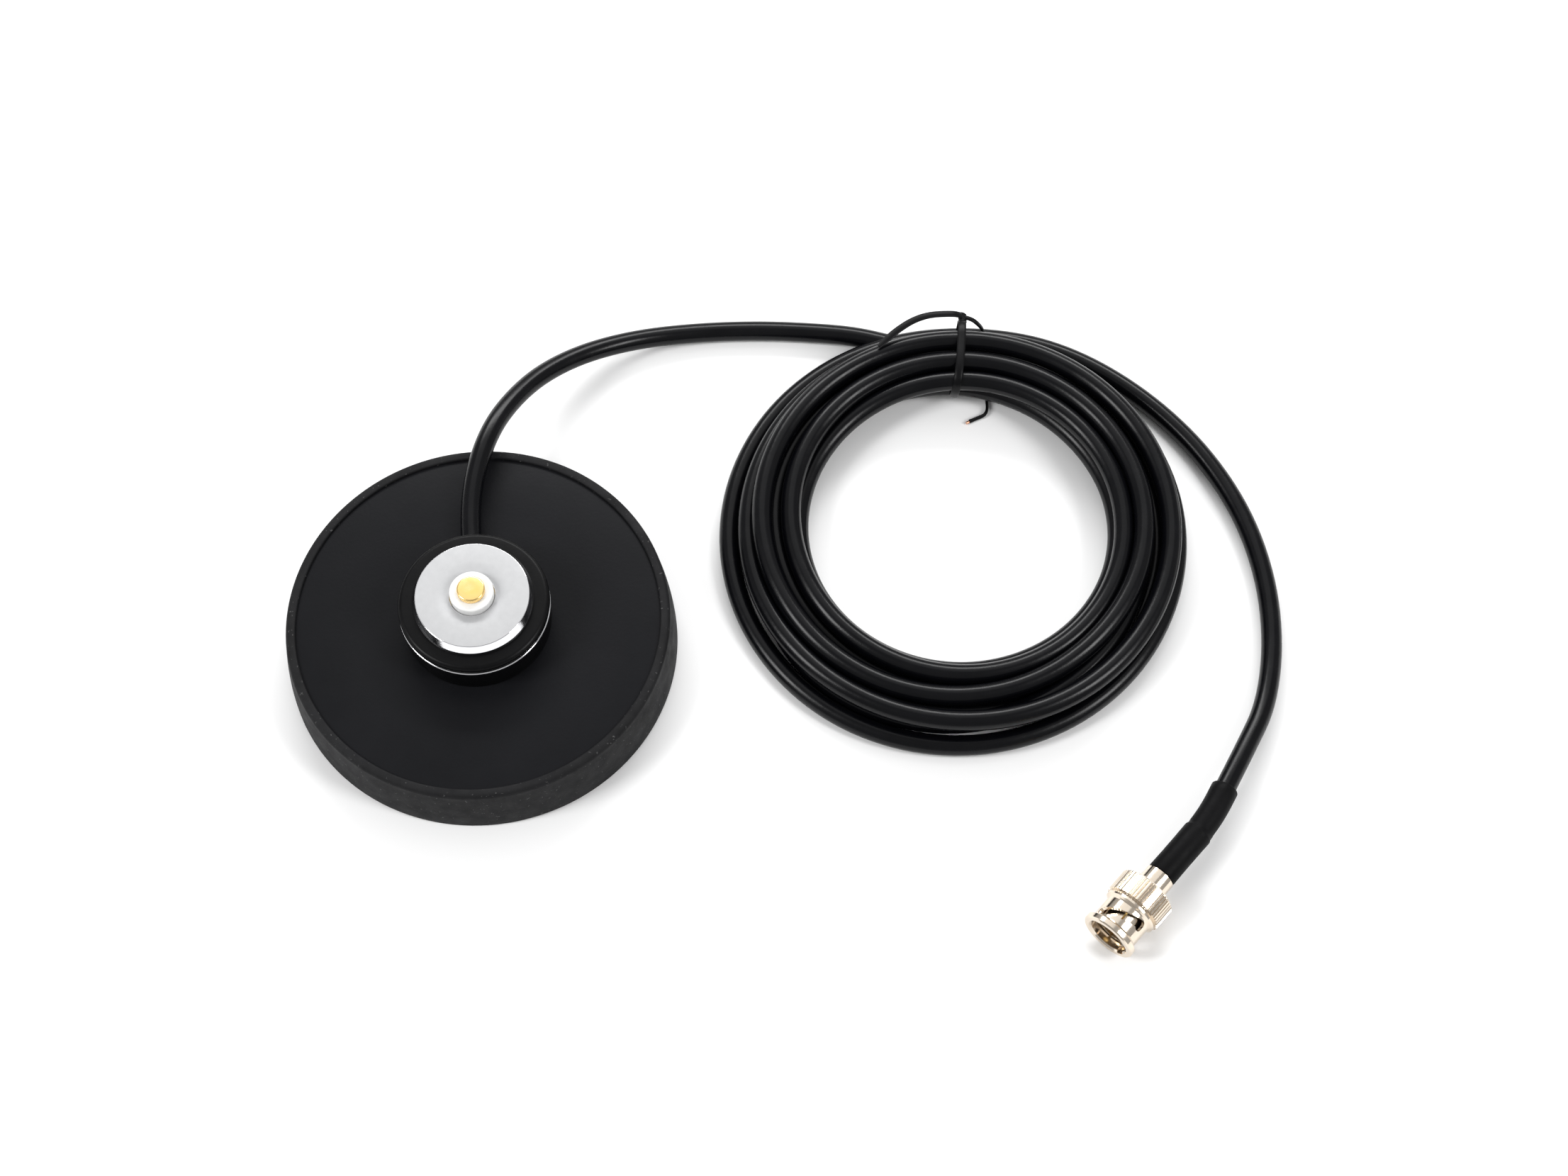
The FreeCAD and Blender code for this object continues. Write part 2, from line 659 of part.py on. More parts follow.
def plug_gasket():
    return ring(BODY_FLANGE_R - 0.05, OUTER_CONTACT_R, BODY_FLANGE_FRONT, GASKET_FRONT)


def thrust_washer():
    return ring(WASHER_R, WEB_BORE_R, NUT_WEB_FRONT, THRUST_FRONT)


def wave_washer():
    """Spring ring with three waves between the thrust washer and the flange."""
    thickness = 0.25
    waves = 3
    steps = 36
    inner = WEB_BORE_R + 0.05
    outer = WASHER_R
    swing = (SPRING_FRONT - THRUST_FRONT - thickness) / 2
    middle = (SPRING_FRONT + THRUST_FRONT) / 2

    def rim(radius, offset):
        points = []
        for index in range(steps):
            angle = 360.0 * index / steps
            height = middle + offset + swing * math.cos(math.radians(waves * angle))
            points.append(polar(radius, angle, height))
        curve = Part.BSplineCurve()
        curve.interpolate(Points=points, PeriodicFlag=True)
        return Part.Wire(curve.toShape())

    low = -thickness / 2
    high = thickness / 2
    corners = [rim(inner, low), rim(outer, low), rim(outer, high), rim(inner, high)]
    faces = []
    for first, second in zip(corners, corners[1:] + corners[:1]):
        faces.append(Part.makeRuledSurface(first.Edges[0], second.Edges[0]))
    shell = Part.Shell(faces)
    shell.sewShape()
    solid = Part.Solid(shell)
    if solid.Volume < 0:
        solid.reverse()
    return solid


def snap_ring():
    ring_shape = ring(SNAP_RING_R, SNAP_RING_GROOVE_R, SNAP_RING_REAR, SNAP_RING_FRONT - 0.05)
    gap = Part.makeBox(6, 1.2, 3, Vector(0, -0.6, SNAP_RING_REAR - 1))
    return ring_shape.cut(gap)


def plug_braid():
    return ring(CABLE_R, BRAID_R, STEM_REAR, -0.2)


def crimp_ferrule():
    return ring(FERRULE_R, CABLE_R, FERRULE_REAR, 0.0)


def plug_dielectric():
    return ring(DIELECTRIC_R, CONDUCTOR_R, STEM_REAR, 1.0)


def plug_conductor():
    return cylinder(CONDUCTOR_R, STEM_REAR, 4.0)


def heat_shrink(tail_route, tail):
    """Sleeve on the cable's last bend and on the ferrule, in its final place."""
    front = on_plug(turned([
        (FERRULE_R, FERRULE_REAR),
        (SLEEVE_FERRULE_R, FERRULE_REAR),
        (SLEEVE_FERRULE_R, 0.0),
        (FERRULE_R, 0.0),
    ]))
    shoulder = on_plug(turned([
        (0, FERRULE_REAR - 0.8),
        (SLEEVE_CABLE_R, FERRULE_REAR - 0.8),
        (SLEEVE_FERRULE_R, FERRULE_REAR),
        (0, FERRULE_REAR),
    ]))
    path, _ = route_path(tail_route)
    rear = tube_along(path, tail_route, SLEEVE_CABLE_R)
    reach = on_plug(cylinder(3 * SLEEVE_CABLE_R, SLEEVE_REAR, FERRULE_REAR - 0.4))
    whole = rear.common(reach).fuse(shoulder).fuse(front)
    return whole.cut(tail).cut(on_plug(cylinder(CABLE_R, FERRULE_REAR - 1, 1.0)))


# ------------------------------------------------------------------ assembly
def build():
    """All the pieces, by node name."""
    tie = twist_tie()
    coil = cable_coil()
    way_out = [(*polar(reach, EXIT_HEADING)[:2], EXIT_Z) for reach in (JACKET_END, LEAD_STRAIGHT)]
    lead = cable_along("cable_lead", way_out + LEAD_ROUTE).cut(coil)
    tail_route = TAIL_ROUTE + [plug_point(TAIL_LAST_BEND), plug_point(STEM_REAR)]
    tail = cable_along("cable_tail", tail_route).cut(coil)
    pieces = {
        "rubber_boot": rubber_boot(),
        "steel_cup": steel_cup(),
        "ring_magnet": ring_magnet(),
        "base_pad": base_pad(),
        "hub_collar": hub_collar(),
        "collar_screws": collar_screws(),
        "mount_flange": mount_flange(),
        "hub_gasket": hub_gasket(),
        "socket_ring": socket_ring(),
        "socket_body": socket_body(),
        "socket_insulator": socket_insulator(),
        "centre_contact": centre_contact(),
        "cable_grommet": cable_grommet(),
        "hub_braid": hub_braid(),
        "hub_dielectric": hub_dielectric(),
        "hub_conductor": hub_conductor(),
        "cable_lead": lead,
        "cable_coil": coil,
        "cable_tail": tail,
        "twist_tie": tie,
        "heat_shrink": heat_shrink(tail_route, tail),
    }
    plug = {
        "crimp_ferrule": crimp_ferrule(),
        "plug_braid": plug_braid(),
        "plug_dielectric": plug_dielectric(),
        "plug_conductor": plug_conductor(),
        "plug_body": plug_body(),
        "plug_insulator": plug_insulator(),
        "plug_pin": plug_pin(),
        "plug_gasket": plug_gasket(),
        "wave_washer": wave_washer(),
        "thrust_washer": thrust_washer(),
        "snap_ring": snap_ring(),
        "coupling_nut": coupling_nut(),
    }
    for name, shape in plug.items():
        pieces[name] = on_plug(shape)
    return pieces


os.makedirs(OUT, exist_ok=True)
for node, piece in build().items():
    print(f"{node}: {len(piece.Solids)} solid(s), {piece.Volume:.1f} mm3, valid {piece.isValid()}")
    piece.exportStep(os.path.join(OUT, f"{node}.step"))
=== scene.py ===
"""Magnetic antenna mount with its coiled lead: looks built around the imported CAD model.

The frame is the CAD's: origin under the middle of the base, +Z up. Sizes in
this file are in millimetres, as in part.py, and MM turns them into metres.
"""

import math

import bmesh
import bpy
import numpy as np
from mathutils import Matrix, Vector


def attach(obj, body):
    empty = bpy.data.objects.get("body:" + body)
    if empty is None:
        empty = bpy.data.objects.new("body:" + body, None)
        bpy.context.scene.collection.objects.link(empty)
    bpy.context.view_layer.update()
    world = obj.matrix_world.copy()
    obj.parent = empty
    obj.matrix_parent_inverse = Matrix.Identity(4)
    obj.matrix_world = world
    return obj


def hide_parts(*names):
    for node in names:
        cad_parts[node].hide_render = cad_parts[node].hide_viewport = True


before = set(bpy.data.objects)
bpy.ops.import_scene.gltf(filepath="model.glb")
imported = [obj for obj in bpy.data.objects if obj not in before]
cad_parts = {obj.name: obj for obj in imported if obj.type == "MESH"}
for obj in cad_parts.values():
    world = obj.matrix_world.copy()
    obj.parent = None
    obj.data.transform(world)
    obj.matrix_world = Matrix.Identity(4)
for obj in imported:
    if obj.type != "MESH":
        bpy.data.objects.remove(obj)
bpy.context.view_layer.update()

MM = 0.001

# ------------------------------------------------------------------- camera
CAMERA_AT = (72.87, -262.33, 576.0)
CAMERA_DOWN = 64.26         # degrees below the horizon, looking along +Y
CAMERA_LENS = 59.7          # mm, on the sensor below
SENSOR_WIDTH = 36.0

# -------------------------------------------------------------- base and hub
BOOT_BOTTOM_R = 47.0
BOOT_DRAFT = 1.2            # how much narrower the boot is under its top lip
BOOT_LIP_R = 43.4
BOOT_FOOT_R = 41.0
BOOT_TOP_Z = 15.2
CUP_R = 44.4
CUP_TOP_Z = 14.4
CUP_UNDERSIDE_Z = 12.8
CUP_RIM_Z = 1.4
COLLAR_R = 17.5
COLLAR_TOP_Z = 22.0
FLANGE_R = 18.0
FLANGE_TOP_Z = 22.8
FLANGE_ROUNDING = 0.28
GASKET_R = 17.9
GASKET_ROUNDING = 1.2
GASKET_TOP_Z = 25.2
NECK_R = 12.0               # the ring's bore, where it is screwed on the body
NECK_TOP_Z = 26.0
SOCKET_R = 14.29
SOCKET_RELIEF_R = 13.9
SOCKET_CONE_Z = 26.3        # the ring's wall leans in above this
SOCKET_TOP_Z = 28.2
INSULATOR_R = 5.2
INSULATOR_BOTTOM_Z = 19.9
INSULATOR_TOP_Z = 30.2
CONTACT_R = 3.3
CONTACT_TOP_Z = 31.7
CONTACT_SHANK_R = 1.6
CONTACT_SHANK_Z = 21.6

# -------------------------------------------------------------------- cable
CABLE_R = 2.5
FLOOR_Z = 2.6
EXIT = (-1.46, 11.91, 18.2)
LEAD = [
    EXIT,
    (-2.9, 23.6, 18.3),
    (-2.4, 35.5, 19.6),
    (0.4, 47.5, 19.6),
    (4.6, 57.6, 17.0),
    (11.4, 68.4, 12.6),
    (21.6, 77.4, 8.2),
    (35.0, 83.9, 4.4),
    (50.7, 87.0, FLOOR_Z),
    (66.0, 87.6, FLOOR_Z),
    (80.0, 87.0, FLOOR_Z),
    (91.0, 85.9, FLOOR_Z),
    (99.5, 83.6, FLOOR_Z),
]
TAIL = [
    (129.5, 84.9, FLOOR_Z),
    (142.0, 81.6, FLOOR_Z),
    (154.6, 74.8, FLOOR_Z),
    (167.4, 64.2, FLOOR_Z),
    (178.6, 50.6, FLOOR_Z),
    (187.0, 34.0, FLOOR_Z),
    (191.2, 16.0, FLOOR_Z),
    (191.4, -1.5, FLOOR_Z),
    (188.2, -17.4, 3.4),
    (182.4, -28.6, 5.4),
    (177.0, -38.6, 6.6),
]

# --------------------------------------------------------------------- plug
# Distances along the plug run from its neck towards its mouth, so what lies
# in the heat-shrink sleeve is negative.
PLUG_REAR = Vector((159.7, -61.75, 7.1))
PLUG_HEADING = 228.5        # degrees from +X, the way the mouth points
TAIL_LAST_BEND = -18.2
CABLE_END = -11.0
SLEEVE_REAR = -28.5
SLEEVE_LEAVES_CABLE = -15.5
SLEEVE_CABLE_R = 3.25
SLEEVE_ON_FERRULE = [       # distance and radius, over the crimped ferrule
    (-15.0, 3.25),
    (-14.5, 3.3),
    (-14.1, 3.5),
    (-13.7, 3.55),
    (-9.0, 3.5),
    (-4.0, 3.5),
    (-0.6, 3.55),
    (-0.15, 3.45),
    (0.0, 3.2),
]

# --------------------------------------------------------------------- coil
# One row for each of the eight turns, from the lead to the tail. Each row
# gives the turn's distance from the middle of the coil, and then its height,
# at eight stations going clockwise: far, far right, right, near right, near,
# near left, left and far left.
COIL_MIDDLE = (114.86, 28.03)
TURN_RADII = [
    (50.5, 46.0, 44.8, 43.0, 41.2, 41.3, 44.0, 47.0),
    (50.0, 50.5, 50.2, 48.6, 46.4, 46.0, 49.4, 50.0),
    (45.4, 46.0, 46.5, 47.2, 51.0, 50.6, 44.4, 44.8),
    (40.4, 40.0, 42.5, 38.6, 36.4, 36.6, 39.2, 39.4),
    (40.4, 40.7, 41.8, 41.6, 38.8, 39.0, 40.4, 43.4),
    (45.6, 46.4, 46.8, 45.2, 45.2, 46.2, 47.7, 48.7),
    (51.0, 53.0, 53.2, 52.4, 51.2, 50.9, 49.3, 51.5),
    (51.2, 54.0, 53.4, 54.6, 56.6, 55.6, 54.8, 56.2),
]
TURN_HEIGHTS = [
    (2.6, 2.6, 2.6, 2.6, 2.6, 2.6, 7.0, 7.4),
    (2.6, 7.2, 6.8, 2.6, 2.6, 2.6, 2.6, 2.6),
    (2.6, 2.6, 4.5, 7.0, 2.6, 2.6, 2.6, 2.6),
    (7.6, 7.6, 7.4, 2.6, 2.6, 2.6, 2.6, 7.8),
    (12.6, 12.6, 12.0, 7.4, 7.4, 7.4, 7.4, 12.2),
    (12.6, 12.6, 12.0, 9.5, 7.4, 7.4, 11.5, 12.4),
    (12.6, 12.6, 11.5, 7.6, 7.4, 7.4, 7.4, 7.6),
    (7.6, 7.2, 5.0, 2.6, 2.6, 2.6, 2.6, 2.8),
]
COIL_END = (57.0, 3.2)      # distance and height where the tail leaves
POINTS_PER_TURN = 24
CABLE_GAP = 0.05            # left between two turns that touch
COIL_START_ANGLE = 270.0    # clockwise from +X, seen from above
SETTLE_ROUNDS = 400         # rounds of small pushes that part crowded turns
PUSH_SHARE = 0.3            # how much of an overlap one round takes away
REACH_RETURN = 0.03         # pull back to the rows above, each round
HEIGHT_RETURN = 0.02
STIFFNESS = 0.12            # how strongly the cable evens out its own bends

# ---------------------------------------------------------------- materials


def principled(name, colour, roughness, metallic=0.0, specular=0.5):
    """A new material, with its node tree, its shader and an object-space texture coordinate."""
    material = bpy.data.materials.new(name)
    material.use_nodes = True
    tree = material.node_tree
    shader = tree.nodes["Principled BSDF"]
    shader.inputs["Base Color"].default_value = (*colour, 1.0)
    shader.inputs["Roughness"].default_value = roughness
    shader.inputs["Metallic"].default_value = metallic
    shader.inputs["Specular IOR Level"].default_value = specular
    place = tree.nodes.new("ShaderNodeTexCoord").outputs["Object"]
    return material, tree, shader, place


def noise(tree, place, scale, detail=4.0, roughness=0.6, stretch=(1.0, 1.0, 1.0)):
    """Noise over the object's own space; scale is in cells per metre."""
    mapping = tree.nodes.new("ShaderNodeMapping")
    mapping.inputs["Scale"].default_value = stretch
    tree.links.new(place, mapping.inputs["Vector"])
    texture = tree.nodes.new("ShaderNodeTexNoise")
    texture.inputs["Scale"].default_value = scale
    texture.inputs["Detail"].default_value = detail
    texture.inputs["Roughness"].default_value = roughness
    tree.links.new(mapping.outputs["Vector"], texture.inputs["Vector"])
    return texture.outputs["Fac"]


def ramp(tree, value, low, high, low_colour, high_colour):
    """Blends two colours as value goes from low to high."""
    node = tree.nodes.new("ShaderNodeValToRGB")
    node.color_ramp.elements[0].position = low
    node.color_ramp.elements[0].color = (*low_colour, 1.0)
    node.color_ramp.elements[1].position = high
    node.color_ramp.elements[1].color = (*high_colour, 1.0)
    tree.links.new(value, node.inputs["Fac"])
    return node.outputs["Color"]


def spread(tree, value, low, high):
    """Turns noise around 0.5 into numbers from low to high."""
    node = tree.nodes.new("ShaderNodeMapRange")
    node.inputs["From Min"].default_value = 0.25
    node.inputs["From Max"].default_value = 0.75
    node.inputs["To Min"].default_value = low
    node.inputs["To Max"].default_value = high
    tree.links.new(value, node.inputs["Value"])
    return node.outputs["Result"]


def bump(tree, shader, height, strength, distance):
    """Roughens the surface's normals; distance is the relief in metres."""
    node = tree.nodes.new("ShaderNodeBump")
    node.inputs["Strength"].default_value = strength
    node.inputs["Distance"].default_value = distance
    tree.links.new(height, node.inputs["Height"])
    tree.links.new(node.outputs["Normal"], shader.inputs["Normal"])


def cable_material():
    """Glossy PVC with faint waves from the braid under it."""
    material, tree, shader, place = principled("cable_pvc", (0.0022, 0.0023, 0.003), 0.3, specular=0.2)
    waves = noise(tree, place, 60.0)
    black = ramp(tree, waves, 0.35, 0.7, (0.0012, 0.0013, 0.002), (0.0024, 0.0025, 0.0034))
    tree.links.new(black, shader.inputs["Base Color"])
    tree.links.new(spread(tree, noise(tree, place, 220.0), 0.2, 0.3), shader.inputs["Roughness"])
    bump(tree, shader, noise(tree, place, 900.0, 3.0), 0.12, 0.00012)
    return material


def shrink_material():
    """Matt heat-shrink tube with faint patches."""
    black = (0.003, 0.003, 0.0032)
    material, tree, shader, place = principled("heat_shrink_matte", black, 0.5, specular=0.07)
    tree.links.new(spread(tree, noise(tree, place, 300.0), 0.42, 0.6), shader.inputs["Roughness"])
    patches = noise(tree, place, 120.0)
    body = ramp(tree, patches, 0.3, 0.7, (0.0022, 0.0022, 0.0025), (0.0045, 0.0045, 0.005))
    tree.links.new(body, shader.inputs["Base Color"])
    bump(tree, shader, noise(tree, place, 1600.0, 5.0), 0.25, 0.0001)
    return material


def boot_material():
    """Moulded rubber: matt, a little dusty, with pale flecks painted on as glints."""
    black = (0.005, 0.005, 0.0055)
    material, tree, shader, place = principled("boot_rubber_matte", black, 0.55, specular=0.22)
    patches = noise(tree, place, 90.0, 6.0)
    body = ramp(tree, patches, 0.3, 0.72, (0.003, 0.003, 0.0035), (0.008, 0.008, 0.0092))
    # Pale flecks scattered by noise and mixed towards light grey below: painted glints, not dust.
    painted_glint_noise = noise(tree, place, 1300.0, 2.0)
    painted_glint_mask = ramp(tree, painted_glint_noise, 0.67, 0.74, (0.0, 0.0, 0.0), (0.55, 0.55, 0.55))
    mix = tree.nodes.new("ShaderNodeMixRGB")
    tree.links.new(painted_glint_mask, mix.inputs["Fac"])
    tree.links.new(body, mix.inputs["Color1"])
    mix.inputs["Color2"].default_value = (0.12, 0.12, 0.12, 1.0)
    tree.links.new(mix.outputs["Color"], shader.inputs["Base Color"])
    tree.links.new(spread(tree, noise(tree, place, 240.0), 0.58, 0.8), shader.inputs["Roughness"])
    bump(tree, shader, noise(tree, place, 1800.0, 6.0), 0.3, 0.00015)
    return material


def powder_material():
    """Black powder coat with its fine orange peel."""
    black = (0.0055, 0.0057, 0.0068)
    material, tree, shader, place = principled("powder_coat_black", black, 0.45, specular=0.09)
    patches = noise(tree, place, 30.0, 5.0)
    body = ramp(tree, patches, 0.3, 0.7, (0.005, 0.0052, 0.0062), (0.0068, 0.007, 0.0084))
    tree.links.new(body, shader.inputs["Base Color"])
    tree.links.new(spread(tree, noise(tree, place, 150.0), 0.38, 0.5), shader.inputs["Roughness"])
    bump(tree, shader, noise(tree, place, 1100.0, 3.0), 0.22, 0.00012)
    return material


def plastic_material(name, colour, roughness, specular=0.5):
    """Moulded plastic or rubber of one colour, a quarter lighter in patches."""
    material, tree, shader, place = principled(name, colour, roughness, specular=specular)
    lighter = tuple(min(1.0, c * 1.25) for c in colour)
    patches = ramp(tree, noise(tree, place, 140.0), 0.3, 0.7, colour, lighter)
    tree.links.new(patches, shader.inputs["Base Color"])
    gloss = spread(tree, noise(tree, place, 260.0), roughness - 0.05, roughness + 0.07)
    tree.links.new(gloss, shader.inputs["Roughness"])
    bump(tree, shader, noise(tree, place, 1500.0, 4.0), 0.15, 0.0001)
    return material


def metal_material(name, colour, roughness, spread_by=0.05, worn=None):
    """Plated metal with faint smudges, and a worn tint where given."""
    material, tree, shader, place = principled(name, colour, roughness, metallic=1.0)
    darker = tuple(c * 0.9 for c in colour)
    smudges = ramp(tree, noise(tree, place, 210.0, 6.0), 0.35, 0.75, colour, worn or darker)
    tree.links.new(smudges, shader.inputs["Base Color"])
    smoothest = max(0.02, roughness - spread_by)
    gloss = spread(tree, noise(tree, place, 420.0, 5.0), smoothest, roughness + spread_by)
    tree.links.new(gloss, shader.inputs["Roughness"])
    bump(tree, shader, noise(tree, place, 2500.0, 3.0), 0.05, 0.00005)
    return material


def satin_metal_material():
    """Bead-blasted and plated: the pale satin top of the socket's ring."""
    grey = (0.45, 0.453, 0.46)
    material, tree, shader, place = principled("ring_satin_chrome", grey, 0.5, metallic=0.4)
    patches = ramp(tree, noise(tree, place, 500.0, 5.0), 0.3, 0.7, (0.44, 0.443, 0.45), (0.47, 0.473, 0.48))
    tree.links.new(patches, shader.inputs["Base Color"])
    tree.links.new(spread(tree, noise(tree, place, 900.0, 4.0), 0.46, 0.58), shader.inputs["Roughness"])
    bump(tree, shader, noise(tree, place, 3500.0, 2.0), 0.12, 0.00004)
    return material


CABLE = cable_material()
SHRINK = shrink_material()
BOOT = boot_material()
POWDER = powder_material()
COLLAR = plastic_material("collar_black_plastic", (0.0022, 0.0022, 0.0026), 0.38, specular=0.14)
GASKET = plastic_material("gasket_black_rubber", (0.002, 0.002, 0.0023), 0.36, specular=0.12)
TIE = plastic_material("tie_black_pvc", (0.0028, 0.0028, 0.0032), 0.36, specular=0.12)
WHITE = plastic_material("white_insulator", (0.72, 0.72, 0.71), 0.38)
RED = plastic_material("red_gasket", (0.35, 0.04, 0.03), 0.4)
CHROME = metal_material("polished_chrome", (0.80, 0.80, 0.82), 0.06, 0.03)
SATIN = satin_metal_material()
GOLD = metal_material("gold_plate", (1.0, 0.70, 0.24), 0.26, 0.05, worn=(1.0, 0.74, 0.36))
NICKEL = metal_material("nickel_plate", (0.80, 0.70, 0.58), 0.16, 0.05)
STEEL = metal_material("spring_steel", (0.55, 0.55, 0.57), 0.3)
BRASS = metal_material("bare_brass", (0.74, 0.56, 0.26), 0.3)
COPPER = metal_material("copper_wire", (0.80, 0.42, 0.28), 0.3)
FERRITE = plastic_material("ferrite_magnet", (0.05, 0.05, 0.055), 0.6)
PAD = plastic_material("pad_rubber", (0.02, 0.02, 0.02), 0.7)

NODE_MATERIALS = {
    "ring_magnet": FERRITE,
    "base_pad": PAD,
    "collar_screws": STEEL,
    "socket_body": BRASS,
    "hub_braid": COPPER,
    "hub_dielectric": WHITE,
    "hub_conductor": COPPER,
    "crimp_ferrule": NICKEL,
    "plug_braid": COPPER,
    "plug_dielectric": WHITE,
    "plug_conductor": COPPER,
    "plug_body": NICKEL,
    "plug_insulator": WHITE,
    "plug_pin": GOLD,
    "plug_gasket": RED,
    "wave_washer": STEEL,
    "thrust_washer": STEEL,
    "snap_ring": STEEL,
    "coupling_nut": NICKEL,
}

# -------------------------------------------------------------- mesh helpers

CREASE_DEGREES = 35.0       # faces that meet at more than this stay sharp


def new_mesh_object(name, vertices, faces, material):
    """A smooth-shaded piece, with its creases kept sharp."""
    mesh = bpy.data.meshes.new(name)
    mesh.from_pydata([tuple(v) for v in vertices], [], faces)
    mesh.validate()
    editable = bmesh.new()
    editable.from_mesh(mesh)
    bmesh.ops.recalc_face_normals(editable, faces=editable.faces)
    editable.to_mesh(mesh)
    editable.free()
    mesh.polygons.foreach_set("use_smooth", [True] * len(mesh.polygons))
    mesh.set_sharp_from_angle(angle=math.radians(CREASE_DEGREES))
    mesh.materials.append(material)
    piece = bpy.data.objects.new(name, mesh)
    bpy.context.scene.collection.objects.link(piece)
    return piece


def lathe(name, outline, material, segments=256):
    """Closed surface turned about Z from a closed outline of (radius, height)
    in millimetres. A radius of 0 lies on the axis."""
    vertices = []
    rings = []
    for radius, height in outline:
        if radius == 0:
            rings.append([len(vertices)])
            vertices.append((0.0, 0.0, height * MM))
            continue
        first = len(vertices)
        for index in range(segments):
            angle = 2 * math.pi * index / segments
            vertices.append((radius * MM * math.cos(angle), radius * MM * math.sin(angle), height * MM))
        rings.append(list(range(first, first + segments)))
    faces = []
    for ring_a, ring_b in zip(rings, rings[1:] + rings[:1]):
        for index in range(segments):
            following = (index + 1) % segments
            corners = [ring_a[index % len(ring_a)], ring_a[following % len(ring_a)],
                       ring_b[following % len(ring_b)], ring_b[index % len(ring_b)]]
            corners = list(dict.fromkeys(corners))
            if len(corners) > 2:
                faces.append(corners)
    return new_mesh_object(name, vertices, faces, material)


def rounded(centre, radius, start_degrees, stop_degrees, steps=6):
    """Corner points of a lathe outline on a circle of the given radius."""
    points = []
    for index in range(steps + 1):
        angle = math.radians(start_degrees + (stop_degrees - start_degrees) * index / steps)
        points.append((centre[0] + radius * math.cos(angle), centre[1] + radius * math.sin(angle)))
    return points


def section_frames(path, level=None):
    """Across and up directions at each point of a path, without twist."""
    frames = []
    across = None
    for index, point in enumerate(path):
        before = path[max(index - 1, 0)]
        after = path[min(index + 1, len(path) - 1)]
        along = (after - before).normalized()
        if across is None:
            guide = level or Vector((0, 0, 1))
            across = along.cross(guide).normalized()
        across = (across - along * across.dot(along)).normalized()
        up = along.cross(across).normalized()
        frames.append((across, up))
    return frames


def swept(name, path, sizes, material, sides=24, guide=None):
    """Tube along a path; sizes gives (half width, half height) at each point."""
    vertices = []
    for point, (across, up), (wide, high) in zip(path, section_frames(path, guide), sizes):
        for index in range(sides):
            angle = 2 * math.pi * index / sides
            vertices.append(point + across * (wide * math.cos(angle)) + up * (high * math.sin(angle)))
    faces = []
    for step in range(len(path) - 1):
        for index in range(sides):
            a = step * sides + index
            b = step * sides + (index + 1) % sides
            faces.append((a, b, b + sides, a + sides))
    faces.append(tuple(reversed(range(sides))))
    faces.append(tuple(range((len(path) - 1) * sides, len(path) * sides)))
    return new_mesh_object(name, vertices, faces, material)


def smooth_line(points):
    """Points along the NURBS line that the given points guide, in metres."""
    curve = bpy.data.curves.new("guide_line", "CURVE")
    curve.dimensions = "3D"
    nurbs(curve, points)
    curve.resolution_u = 12
    holder = bpy.data.objects.new("guide_line", curve)
    mesh = bpy.data.meshes.new_from_object(holder)
    line = [v.co.copy() for v in mesh.vertices]
    bpy.data.objects.remove(holder)
    bpy.data.curves.remove(curve)
    bpy.data.meshes.remove(mesh)
    return line


def nurbs(curve, points):
    """Adds one open NURBS spline with these control points, in millimetres."""
    spline = curve.splines.new("NURBS")
    spline.points.add(len(points) - 1)
    for control, point in zip(spline.points, points):
        control.co = (point[0] * MM, point[1] * MM, point[2] * MM, 1.0)
    spline.order_u = 3
    spline.use_endpoint_u = True
    return spline


# ------------------------------------------------------------ camera, floor


def add_camera():
    """Looks down along +Y, from above and before the middle of the object."""
    camera = bpy.data.objects.new("camera", bpy.data.cameras.new("camera"))
    camera.location = Vector(CAMERA_AT) * MM
    camera.rotation_euler = (math.radians(90.0 - CAMERA_DOWN), 0.0, 0.0)
    camera.data.lens = CAMERA_LENS
    camera.data.sensor_width = SENSOR_WIDTH
    camera.data.clip_start = 0.01
    camera.data.clip_end = 20.0
    bpy.context.scene.collection.objects.link(camera)
    bpy.context.scene.camera = camera


def add_floor():
    """A pale square, 8 m wide, that the object stands on."""
    half = 4.0
    corners = [(-half, -half, 0), (half, -half, 0), (half, half, 0), (-half, half, 0)]
    material = principled("floor_white", (0.93, 0.93, 0.93), 0.8, specular=0.1)[0]
    floor = new_mesh_object("floor", corners, [(0, 1, 2, 3)], material)


def add_area_light(name, place, aim, size, energy):
    """White rectangle of light, in metres and watts, turned towards aim."""
    lamp = bpy.data.lights.new(name, "AREA")
    lamp.shape = "RECTANGLE"
    lamp.size, lamp.size_y = size
    lamp.energy = energy
    light = bpy.data.objects.new(name, lamp)
    light.location = place
    direction = Vector(aim) - Vector(place)
    light.rotation_euler = direction.to_track_quat("-Z", "Y").to_euler()
    bpy.context.scene.collection.objects.link(light)


def add_light():
    """A dim room, one wide dim panel that the flat metal mirrors, and softboxes
    behind and beside the object for the floor and the streaks on the cable."""
    bpy.context.scene.view_settings.view_transform = "Standard"
    world = bpy.data.worlds.new("studio")
    world.use_nodes = True
    background = world.node_tree.nodes["Background"]
    background.inputs["Color"].default_value = (1.0, 1.0, 1.0, 1.0)
    background.inputs["Strength"].default_value = 0.42
    bpy.context.scene.world = world
    aim = (0.08, 0.02, 0.0)
    add_area_light("panel", (0.07, 0.62, 1.25), aim, (1.3, 0.8), 2.2)
    add_area_light("softbox_back", (0.1, 0.95, 0.75), aim, (1.1, 0.3), 11.0)
    add_area_light("softbox_left", (-0.75, -0.25, 0.8), aim, (0.3, 0.5), 7.0)
    add_area_light("softbox_right", (0.85, -0.3, 0.85), aim, (0.25, 0.5), 6.0)


# -------------------------------------------------------------------- cable


def soften(values, passes):
    """Averages each value with its two neighbours, keeping both ends."""
    for _ in range(passes):
        values[1:-1] = (values[:-2] + 2 * values[1:-1] + values[2:]) / 4
    return values


